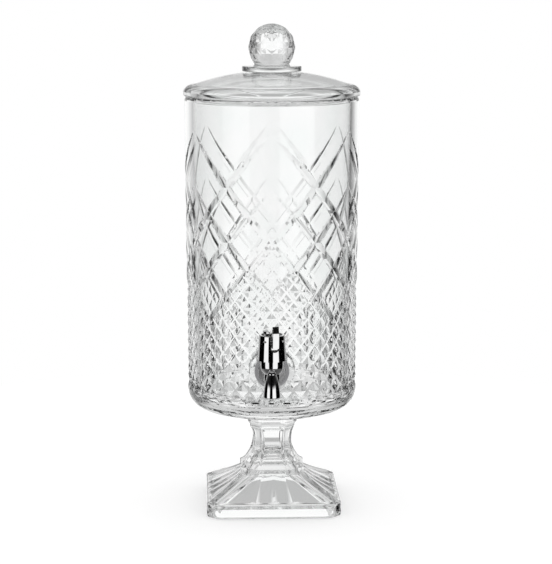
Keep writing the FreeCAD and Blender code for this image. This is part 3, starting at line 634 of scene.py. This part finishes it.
# %% Foot: rows up the outside
plinth_half, plinth_corner, plinth_top = 62.5, 81.18, 13.8
ground_round, plinth_round = 1.2, 2.0
skirt_rise, skirt_bow = 18.4, 2.2
ledge_half, ledge_corner, ledge_top, ledge_round = 29.5, 32.53, 37.0, 1.5
waist_half, waist_corner, waist_z = 17.3, 19.09, 64.0
lower_bend, upper_bend, foot_top = 36.5, 27.5, 86.1
ridge_top, ridge_foot = 10.7, 17.7
stem_ridge, stem_ridge_top, narrowing_from, narrowing_run = 10.95, 9.15, 51, 26


def outer_rows():
    """Rows up the outside as height, half width of a flat, half width of a corner, and ridge line.

    Quarter circles round the plinth's edges, a sagging line climbs the skirt, and two arcs that meet
    at the waist make the stem.
    """
    base = arc_points((plinth_half - ground_round, ground_round), ground_round, -90, 0, 5)
    edge = arc_points((plinth_half - plinth_round, plinth_top - plinth_round), plinth_round, 0, 90, 8)
    plinth = np.concatenate([base, [(plinth_half, 2.0), (plinth_half, 11.0)], edge])
    rows = [(z, a, a - plinth_half + plinth_corner, ridge_foot) for a, z in plinth]
    t = np.concatenate([[0.04, 0.055], np.linspace(0.09, 0.985, 22)])
    bow = 4 * skirt_bow * t * (1 - t)
    skirt_half, skirt_corner = plinth_half - plinth_round, plinth_corner - plinth_round
    flat = skirt_half - (skirt_half - ledge_half) * t - bow
    corner = skirt_corner - (skirt_corner - ledge_corner) * t - bow
    rows += list(zip(plinth_top + skirt_rise * t, flat, corner, ridge_foot - (ridge_foot - ridge_top) * t))
    rows += [(z, ledge_half, ledge_corner, ridge_top) for z in (32.5, 33.0, 36.0, ledge_top)]
    for lean in np.radians([15, 30, 45, 58]):
        step = ledge_round * (1 - cos(lean))
        z = ledge_top + ledge_round * sin(lean)
        rows.append((z, ledge_half - step, ledge_corner - step, ridge_top))
    for radius, heights in ((lower_bend, lower_heights), (upper_bend, upper_heights)):
        for z in heights:
            swing = radius - sqrt(radius ** 2 - (waist_z - z) ** 2)
            narrowing = (stem_ridge - stem_ridge_top) * (z - narrowing_from) / narrowing_run
            ridge = np.clip(stem_ridge - narrowing, stem_ridge_top, stem_ridge)
            rows.append((z, waist_half + swing, waist_corner + swing, ridge))
    return np.array(rows + [(foot_top, rows[-1][1], rows[-1][2], stem_ridge_top)])


def in_stretches(*stretches):
    """Heights in even steps along each stretch, given as (from, to, count)."""
    return np.concatenate([np.linspace(*stretch) for stretch in stretches])


lower_heights = in_stretches((40.8, 45.4, 5), (46.0, 51.4, 10), (52.5, 64.0, 8))
upper_heights = in_stretches((65.5, 72.4, 6), (73.0, 78.4, 11), (79.2, 81.0, 3))
print("rows up the outside", len(outer_rows()))

# %% Foot: rows of the hollow
hollow_rim, hollow_shelf, hollow_throat = 55.8, 53.6, 22.0
shelf_round, throat_round = 7.0, 9.0
shelf_z, throat_z, slope_sag = 7.5, 30.0, 0.8
sag_down, sag_in = 0.815, 0.58
dome_foot, dome_rise, hollow_flat, hollow_top = 19.0, 13.0, 3.0, 50.0


def dome_width(height):
    """Half width of the hollow's dome at a height: a circle that lies flat where it meets the top."""
    width = dome_foot - hollow_flat
    radius = (width ** 2 + dome_rise ** 2) / (2 * dome_rise)
    return hollow_flat + np.sqrt(np.maximum(radius ** 2 - (height - hollow_top + radius) ** 2, 0))


def inner_rows():
    """Rows down the hollow underneath, from its domed top to the ground rim that it stands on.

    The hollow is a square with round corners, and round where it is no wider than those corners.
    """
    dome_z = hollow_top - dome_rise * np.linspace(0, 1, 10) ** 2
    t = np.array([0, 0.03, 0.1, 0.2, 0.35, 0.5, 0.65, 0.8, 0.9, 0.97, 1.0])
    sag = slope_sag * 4 * t * (1 - t)
    slope_z = throat_z - (throat_z - shelf_z) * t - sag * sag_down
    slope = hollow_throat + (hollow_shelf - hollow_throat) * t - sag * sag_in
    wall_z = np.array([7.0, 4.0, 0.8, 0.3, 0.0])
    wall_half = hollow_rim - (hollow_rim - hollow_shelf) * wall_z / shelf_z + [0, 0, 0, 0.15, 0.5]
    flat = np.concatenate([dome_width(dome_z), slope, wall_half])
    height = np.concatenate([dome_z, slope_z, wall_z])
    rounding = np.interp(flat, [hollow_throat, hollow_shelf], [throat_round, shelf_round])
    corner = sqrt(2) * flat - (sqrt(2) - 1) * np.minimum(rounding, flat)
    return np.stack([height, flat, corner, 0 * height + ridge_top], -1)


print("rows down the hollow", len(inner_rows()))

# %% Foot: beads and sunk flats
bead_width, bead_height, bead_start, bead_run_in = 2.6, 1.0, 13.9, 2
frame_top, frame_round = 75.7, 3.5
sunk, sunk_edge, sunk_slope, sunk_start = 0.8, 1.6, 1.0, 40
arch_top, arch_round, arch_edge, arch_slope = 49.7, 4.0, 1.5, 1.2


def past_corner(side, above, rounding):
    """Distance beyond a frame with a round upper corner, from those beyond its side and its top."""
    side, above = side + rounding, above + rounding
    outside = np.hypot(np.maximum(side, 0), np.maximum(above, 0))
    return np.minimum(np.maximum(side, above), 0) + outside - rounding


def raised(beyond, z):
    """Height of the surface over the plain foot, at a distance beyond the edge of a flat.

    A bead with the outline of a cosine wave runs up the edges and across the stem's top. Inside it
    the stem's flat is sunk, down to an arch over the ledge.
    """
    off = past_corner(beyond, z - frame_top, frame_round)
    bead = bead_height * (1 + np.cos(pi * np.clip(off / bead_width, -1, 1))) / 2
    field = np.clip((-off - sunk_edge) / sunk_slope, 0, 1) * (z > sunk_start)
    over_arch = past_corner(beyond + arch_edge, z - arch_top, arch_round)
    field = field * np.clip(over_arch / arch_slope, 0, 1)
    return bead * np.clip((z - bead_start) / bead_run_in, 0, 1) - sunk * field


# %% Foot: flutes
narrow_flute, broad_flute = 33.0, 100.0
flute_start, flute_run_in, flute_end = 14.4, 0.3, 32.3
skirt_level, skirt_steep = 0.538, 0.843


def flute_depth(away, ridge, half):
    """Depth of the skirt's flutes at a distance from the middle of a side.

    Two narrow ones lie between the middle and the ridge lines, and a broad one beyond each ridge
    line. Each is a part of a circle that comes up to nothing at its edges.
    """
    narrow = away <= ridge * 1.0001
    chord = np.where(narrow, ridge / 2, (half - ridge) / 2)
    middle = np.where(narrow, ridge / 2, (half + ridge) / 2)
    radius = np.where(narrow, narrow_flute, broad_flute)
    depth = np.sqrt(np.maximum(radius ** 2 - (away - middle) ** 2, 0))
    depth = depth - np.sqrt(np.maximum(radius ** 2 - chord ** 2, 0))
    return np.maximum(depth, 0)


# %% Foot: the surface
foot_turn, cap_gap = 2.2, 0.1
bend_share, inner_bend_share, ridge_share = 0.4, 0.49, 0.6


def quarter_rows(z, flat, corner, ridge, outer_side):
    """A quarter of each row: along a flat, round its edge, over the clipped corner, round the next edge.

    On the skirt the relief moves points square to the slope: partly level and partly upwards.
    """
    half = sqrt(2) * corner - flat
    face = (flat - half) * sqrt(2)
    reach = np.where(outer_side, np.minimum(bead_width, face * bend_share), face * inner_bend_share)
    across = np.concatenate([np.linspace(0, 0.93, 11), [0.97, 1.0]])
    beyond = np.concatenate([[0.04], np.linspace(0.12, 0.93, 8), [1.0]])
    ridge = np.minimum(ridge, half * ridge_share)
    right = np.concatenate([across * ridge, ridge + beyond * (half - reach - ridge)], 1)
    along = np.concatenate([-right[:, :0:-1], right], 1)
    on_skirt = np.clip((z - flute_start) / flute_run_in, 0, 1) * (z < flute_end) * outer_side
    level = np.where(on_skirt > 0, skirt_level, 1.0)
    steep = np.where(on_skirt > 0, skirt_steep, 0.0)
    away = np.abs(along)
    front = raised(away - half, z) * outer_side - flute_depth(away, ridge, half) * on_skirt
    share = np.linspace(0, 1, 9)[1:]
    first_x = half - reach * ((1 - share) ** 2 - share ** 2 * sqrt(0.5))
    first_y = -flat + reach * share ** 2 * sqrt(0.5)
    past = np.repeat(reach, 3, 1) + (face / 2 - reach) * [0.5, 1.0, 0.5]
    edge = raised(np.concatenate([reach * (2 * share - 1), past], 1), z) * outer_side
    lean = np.radians(45) * np.concatenate([share, [1, 1, 1]])
    way = past.copy()
    way[:, 2] = face[:, 0] - way[:, 2]
    corner_x = np.concatenate([first_x, half + way * sqrt(0.5)], 1) + edge * level * np.sin(lean)
    corner_y = np.concatenate([first_y, -flat + way * sqrt(0.5)], 1) - edge * level * np.cos(lean)
    corner_z = z + edge * steep
    back_x, back_y, back_z = -corner_y[:, 7::-1], -corner_x[:, 7::-1], corner_z[:, 7::-1]
    return (np.concatenate([along, corner_x, back_x], 1),
            np.concatenate([-flat - front * level, corner_y, back_y], 1),
            np.concatenate([z + front * steep, corner_z, back_z], 1))


def build_foot():
    """Four quarters side by side, from the top of the hollow to the dished top under the vessel."""
    inside, outside = inner_rows(), outer_rows()
    rows = np.concatenate([inside, outside])
    z, flat, corner, ridge = (rows[:, k][:, None] for k in range(4))
    outer_side = (np.arange(len(rows)) >= len(inside))[:, None]
    x, y, height = quarter_rows(z, flat, corner, ridge, outer_side)
    quarters = []
    for quarter in range(4):
        angle = radians(90 * quarter + foot_turn)
        turned_x, turned_y = x * cos(angle) - y * sin(angle), x * sin(angle) + y * cos(angle)
        quarters.append(np.stack([turned_x, turned_y, height], -1))
    grid = np.concatenate(quarters, 1)
    pole_z = vessel_foot - cap_gap
    caps = []
    for scale in (1.0, 0.8, 0.6, 0.4, 0.2):
        ring = grid[-1] * [scale, scale, 1]
        drop = np.sqrt(dish_radius ** 2 - ring[:, 0] ** 2 - ring[:, 1] ** 2)
        ring[:, 2] = pole_z + dish_radius - drop
        caps.append(ring[None])
    grid = np.concatenate([grid[:-1]] + caps)
    return closed_skin("fluted_foot", grid, [(0, 0, hollow_top), (0, 0, pole_z)], 25)


foot = build_foot()
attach(foot, "stand")
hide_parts("pedestal_foot")
compare(foot, "pedestal_foot")


# %% [markdown]
# ## The floor
# The dispenser stands on a pale table top that runs into a white background. In a studio that is a
# bent sheet of paper. Here a wide disc glows a little for the eye alone, so that it joins the
# white without a line and still takes the shadow under the foot.

# %% Floor
floor_radius, floor_sides, floor_z = 600.0, 96, -0.2
floor_grey, floor_glow = 0.72, 0.41


def build_floor():
    """A plain round table top, just below the ground rim of the foot."""
    turn = np.arange(floor_sides) * 2 * pi / floor_sides
    rim = np.stack([floor_radius * np.cos(turn), floor_radius * np.sin(turn), 0 * turn + floor_z], -1)
    floor = put_mesh("studio_floor", rim, [np.arange(floor_sides)], False)
    return floor


def new_material(name):
    """An empty node material and its output."""
    material = bpy.data.materials.new(name)
    material.use_nodes = True
    tree = material.node_tree
    tree.nodes.clear()
    out = add_node(tree, "ShaderNodeOutputMaterial", (600, 0))
    return material, tree, out


def floor_material():
    """Matt white that takes the shadow, with a little light of its own for the eye."""
    material, tree, out = new_material("studio_white")
    plain = add_node(tree, "ShaderNodeBsdfDiffuse", Color=grey(floor_grey))
    glow = add_node(tree, "ShaderNodeEmission")
    rays = add_node(tree, "ShaderNodeLightPath")
    both = add_node(tree, "ShaderNodeAddShader")
    strength = add_node(tree, "ShaderNodeMath", operation="MULTIPLY")
    strength.inputs[1].default_value = floor_glow
    link = tree.links.new
    link(rays.outputs["Is Camera Ray"], strength.inputs[0])
    link(strength.outputs[0], glow.inputs["Strength"])
    link(plain.outputs[0], both.inputs[0])
    link(glow.outputs[0], both.inputs[1])
    link(both.outputs[0], out.inputs["Surface"])
    return material


floor = build_floor()
floor.visible_transmission = False
floor.visible_glossy = False
floor.data.materials.append(floor_material())
print("floor across, m", 2 * floor_radius / 1000)


# %% Tools for skins
def new_group(name, inputs, outputs):
    """An empty node group with named inputs (kind and value) and outputs (kind)."""
    group = bpy.data.node_groups.new(name, "ShaderNodeTree")
    new_socket = group.interface.new_socket
    for label, (kind, value) in inputs.items():
        new_socket(label, in_out="INPUT", socket_type="NodeSocket" + kind).default_value = value
    for label, kind in outputs.items():
        new_socket(label, in_out="OUTPUT", socket_type="NodeSocket" + kind)
    return group, add_node(group, "NodeGroupInput").outputs, add_node(group, "NodeGroupOutput").inputs


def noise(tree, where, scale, stretch=None, detail=3.0):
    """A noise over the object, stretched along an axis where its factor is small, as a grey from 0 to 1."""
    if stretch is not None:
        scaled = add_node(tree, "ShaderNodeVectorMath", operation="MULTIPLY")
        tree.links.new(where, scaled.inputs[0])
        put_value(tree, stretch, scaled.inputs[1])
        where = scaled.outputs[0]
    cloud = add_node(tree, "ShaderNodeTexNoise", Detail=detail)
    tree.links.new(where, cloud.inputs["Vector"])
    put_value(tree, scale, cloud.inputs["Scale"])
    return cloud.outputs["Fac"]


def put_value(tree, value, socket):
    """Links a socket to another, or sets it to a plain value."""
    if isinstance(value, bpy.types.NodeSocket):
        tree.links.new(value, socket)
    else:
        socket.default_value = value


def spread(tree, value, low=0.0, high=1.0, least=0.0, most=1.0):
    """Maps the stretch low to high of a value onto least to most, and holds it there beyond."""
    ranged = add_node(tree, "ShaderNodeMapRange")
    for socket, given in zip(ranged.inputs, (value, low, high, least, most)):
        put_value(tree, given, socket)
    return ranged.outputs[0]


def combine(tree, operation, first, second):
    """One step of arithmetic on two values or sockets."""
    step = add_node(tree, "ShaderNodeMath", operation=operation)
    put_value(tree, first, step.inputs[0])
    put_value(tree, second, step.inputs[1])
    return step.outputs[0]


# %% [markdown]
# ### Pressed glass
# Glass that was pressed in a mould isn't optically flat: the skin is drawn in long upright waves,
# and it carries a faint bloom where it was wiped. Displaced geometry could carry the waves, but
# they are only hundredths of a millimetre high, so a bump does. The same group serves the clear
# silicone plug with a stronger bloom.

# %% Group: clear skin
def clear_skin_group():
    """Long waves for the height, a faint tint and a bloom that roughens the surface in patches."""
    group, given, out = new_group(
        "clear skin",
        {"Wave Scale": ("Float", 45.0), "Tint": ("Color", (0.97, 0.985, 0.98, 1)),
         "Bloom": ("Float", 0.01)},
        {"Color": "Color", "Roughness": "Float", "Height": "Float"},
    )
    where = add_node(group, "ShaderNodeTexCoord").outputs["Object"]
    waves = noise(group, where, given["Wave Scale"], stretch=(1.0, 1.0, 0.3), detail=1.0)
    ripple = noise(group, where, scale=260.0, stretch=(1.0, 1.0, 0.6), detail=2.0)
    ripple_share = 0.08
    fine = combine(group, "MULTIPLY", ripple, ripple_share)
    group.links.new(combine(group, "ADD", waves, fine), out["Height"])
    patches = noise(group, where, scale=28.0, detail=4.0)
    share = spread(group, patches, low=0.35, high=0.7)
    group.links.new(blend_colours(group, share, grey(1), given["Tint"]), out["Color"])
    bloom = spread(group, patches, low=0.55, high=0.8, most=given["Bloom"])
    group.links.new(bloom, out["Roughness"])
    return group


# %% [markdown]
# ### Plated and turned metal
# The tap is moulded plastic under bright chrome plate: nearly a mirror, with a haze of wiping
# marks. The spring, stem and washers are plain turned steel with fine rings from the lathe. Both
# are a metal with long fine marks and cloudy patches, so one group with two settings makes them.

# %% Group: metal skin
def metal_skin_group():
    """Cloudy patches change colour and roughness, and marks drawn out along one way change the height.

    Behind a plane square to the object's Y axis the metal is satin: the plate of the tap's flange.
    """
    group, given, out = new_group(
        "metal skin",
        {"Metal": ("Color", (0.93, 0.93, 0.93, 1)), "Haze Color": ("Color", (0.86, 0.86, 0.87, 1)),
         "Mark Scale": ("Float", 900.0), "Mark Stretch": ("Vector", (1.0, 1.0, 0.1)),
         "Least Roughness": ("Float", 0.03), "Most Roughness": ("Float", 0.09),
         "Satin Behind": ("Float", 1.0), "Satin Roughness": ("Float", 0.5)},
        {"Color": "Color", "Roughness": "Float", "Height": "Float"},
    )
    where = add_node(group, "ShaderNodeTexCoord").outputs["Object"]
    haze = spread(group, noise(group, where, scale=95.0, detail=5.0), low=0.45, high=0.75)
    marks = noise(group, where, given["Mark Scale"], given["Mark Stretch"], detail=2.0)
    group.links.new(blend_colours(group, haze, given["Metal"], given["Haze Color"]), out["Color"])
    both = combine(group, "MAXIMUM", haze, spread(group, marks, low=0.62, high=0.8, most=0.6))
    rough = spread(group, both, least=given["Least Roughness"], most=given["Most Roughness"])
    place = add_node(group, "ShaderNodeSeparateXYZ")
    group.links.new(where, place.inputs[0])
    satin = combine(group, "GREATER_THAN", place.outputs["Y"], given["Satin Behind"])
    satin = combine(group, "MULTIPLY", satin, given["Satin Roughness"])
    group.links.new(combine(group, "MAXIMUM", rough, satin), out["Roughness"])
    group.links.new(marks, out["Height"])
    return group


# %% [markdown]
# ### Moulded rubber and plastic
# Gaskets, seals, bush and nut come from a spark-eroded mould, which leaves an even fine grain.
# Silicone also gathers a little dust, which lightens it in patches. The grain is finer than any
# mesh here, so colour, roughness and bump carry it.

# %% Group: moulded skin
def moulded_skin_group():
    """Fine grain for the height, dusty patches for colour and roughness."""
    group, given, out = new_group(
        "moulded skin",
        {"Compound": ("Color", (0.4, 0.4, 0.4, 1)), "Dusty": ("Color", (0.5, 0.5, 0.5, 1)),
         "Grain Scale": ("Float", 2200.0),
         "Least Roughness": ("Float", 0.4), "Most Roughness": ("Float", 0.6)},
        {"Color": "Color", "Roughness": "Float", "Height": "Float"},
    )
    where = add_node(group, "ShaderNodeTexCoord").outputs["Object"]
    grain = noise(group, where, given["Grain Scale"], detail=2.0)
    dust = spread(group, noise(group, where, scale=140.0, detail=5.0), low=0.45, high=0.75)
    share = combine(group, "MULTIPLY", dust, spread(group, grain, low=0.3, high=0.6, least=0.4))
    group.links.new(blend_colours(group, share, given["Compound"], given["Dusty"]), out["Color"])
    rough = spread(group, share, least=given["Least Roughness"], most=given["Most Roughness"])
    group.links.new(rough, out["Roughness"])
    group.links.new(grain, out["Height"])
    return group


clear_skin, metal_skin, moulded_skin = clear_skin_group(), metal_skin_group(), moulded_skin_group()
print("groups", [group.name for group in (clear_skin, metal_skin, moulded_skin)])


# %% [markdown]
# ### Finishes
# Each kind of material on the real object gets one shader, dressed in one of the three skins with
# its own values. Seven separate materials would repeat the same nodes with other numbers.

# %% Dress a shader in a skin
def skinned(name, group, settings, bump_depth, **shader_settings):
    """A material: one Principled shader that takes colour, roughness and bump from a skin group.

    bump_depth is the height of the skin's relief in metres.
    """
    material, tree, out = new_material(name)
    skin = add_node(tree, "ShaderNodeGroup", (-300, 0), node_tree=group)
    for label, value in settings.items():
        skin.inputs[label].default_value = value
    bump = add_node(tree, "ShaderNodeBump", (-60, -220))
    bump.inputs["Distance"].default_value = bump_depth
    shader = add_node(tree, "ShaderNodeBsdfPrincipled", (300, 0), **shader_settings)
    tree.links.new(skin.outputs["Color"], shader.inputs["Base Color"])
    tree.links.new(skin.outputs["Roughness"], shader.inputs["Roughness"])
    tree.links.new(skin.outputs["Height"], bump.inputs["Height"])
    tree.links.new(bump.outputs[0], shader.inputs["Normal"])
    tree.links.new(shader.outputs[0], out.inputs["Surface"])
    return material


# %% The finishes
glass = skinned("clear_pressed_glass", clear_skin, {}, bump_depth=0.00005, IOR=1.5, Transmission_Weight=1.0)
flange_face_y = -0.088
finishes = {
    "clear_glass": glass,
    "tap_chrome": skinned(
        "bright_chrome", metal_skin, {"Satin Behind": flange_face_y},
        bump_depth=0.000001, Metallic=1.0),
    "stainless_steel": skinned(
        "turned_steel", metal_skin,
        {"Metal": grey(0.6), "Haze Color": grey(0.5), "Mark Scale": 500.0, "Mark Stretch": (1.0, 1.0, 12.0),
         "Least Roughness": 0.16, "Most Roughness": 0.34},
        bump_depth=0.00001, Metallic=1.0),
    "grey_silicone": skinned(
        "grey_silicone_skin", moulded_skin,
        {"Compound": (0.4, 0.4, 0.41, 1), "Dusty": grey(0.48)}, bump_depth=0.00001),
    "black_rubber": skinned(
        "black_rubber_skin", moulded_skin,
        {"Compound": grey(0.025), "Dusty": grey(0.06)}, bump_depth=0.00001),
    "white_plastic": skinned(
        "white_acetal_skin", moulded_skin,
        {"Compound": (0.8, 0.8, 0.78, 1), "Dusty": (0.74, 0.74, 0.71, 1), "Grain Scale": 1200.0,
         "Least Roughness": 0.28, "Most Roughness": 0.45}, bump_depth=0.000008),
    "clear_silicone": skinned(
        "clear_silicone_skin", clear_skin, {"Tint": (0.8, 0.83, 0.83, 1), "Bloom": 0.5},
        bump_depth=0.00004, IOR=1.41, Transmission_Weight=0.6),
}
for piece in (vessel, lid, knob, foot):
    piece.data.materials.append(glass)
for part in frame["record"]["subparts"]:
    nodes[part["node"]].material_slots[0].material = finishes[part["material_slot"]]
print("finishes", len(finishes))
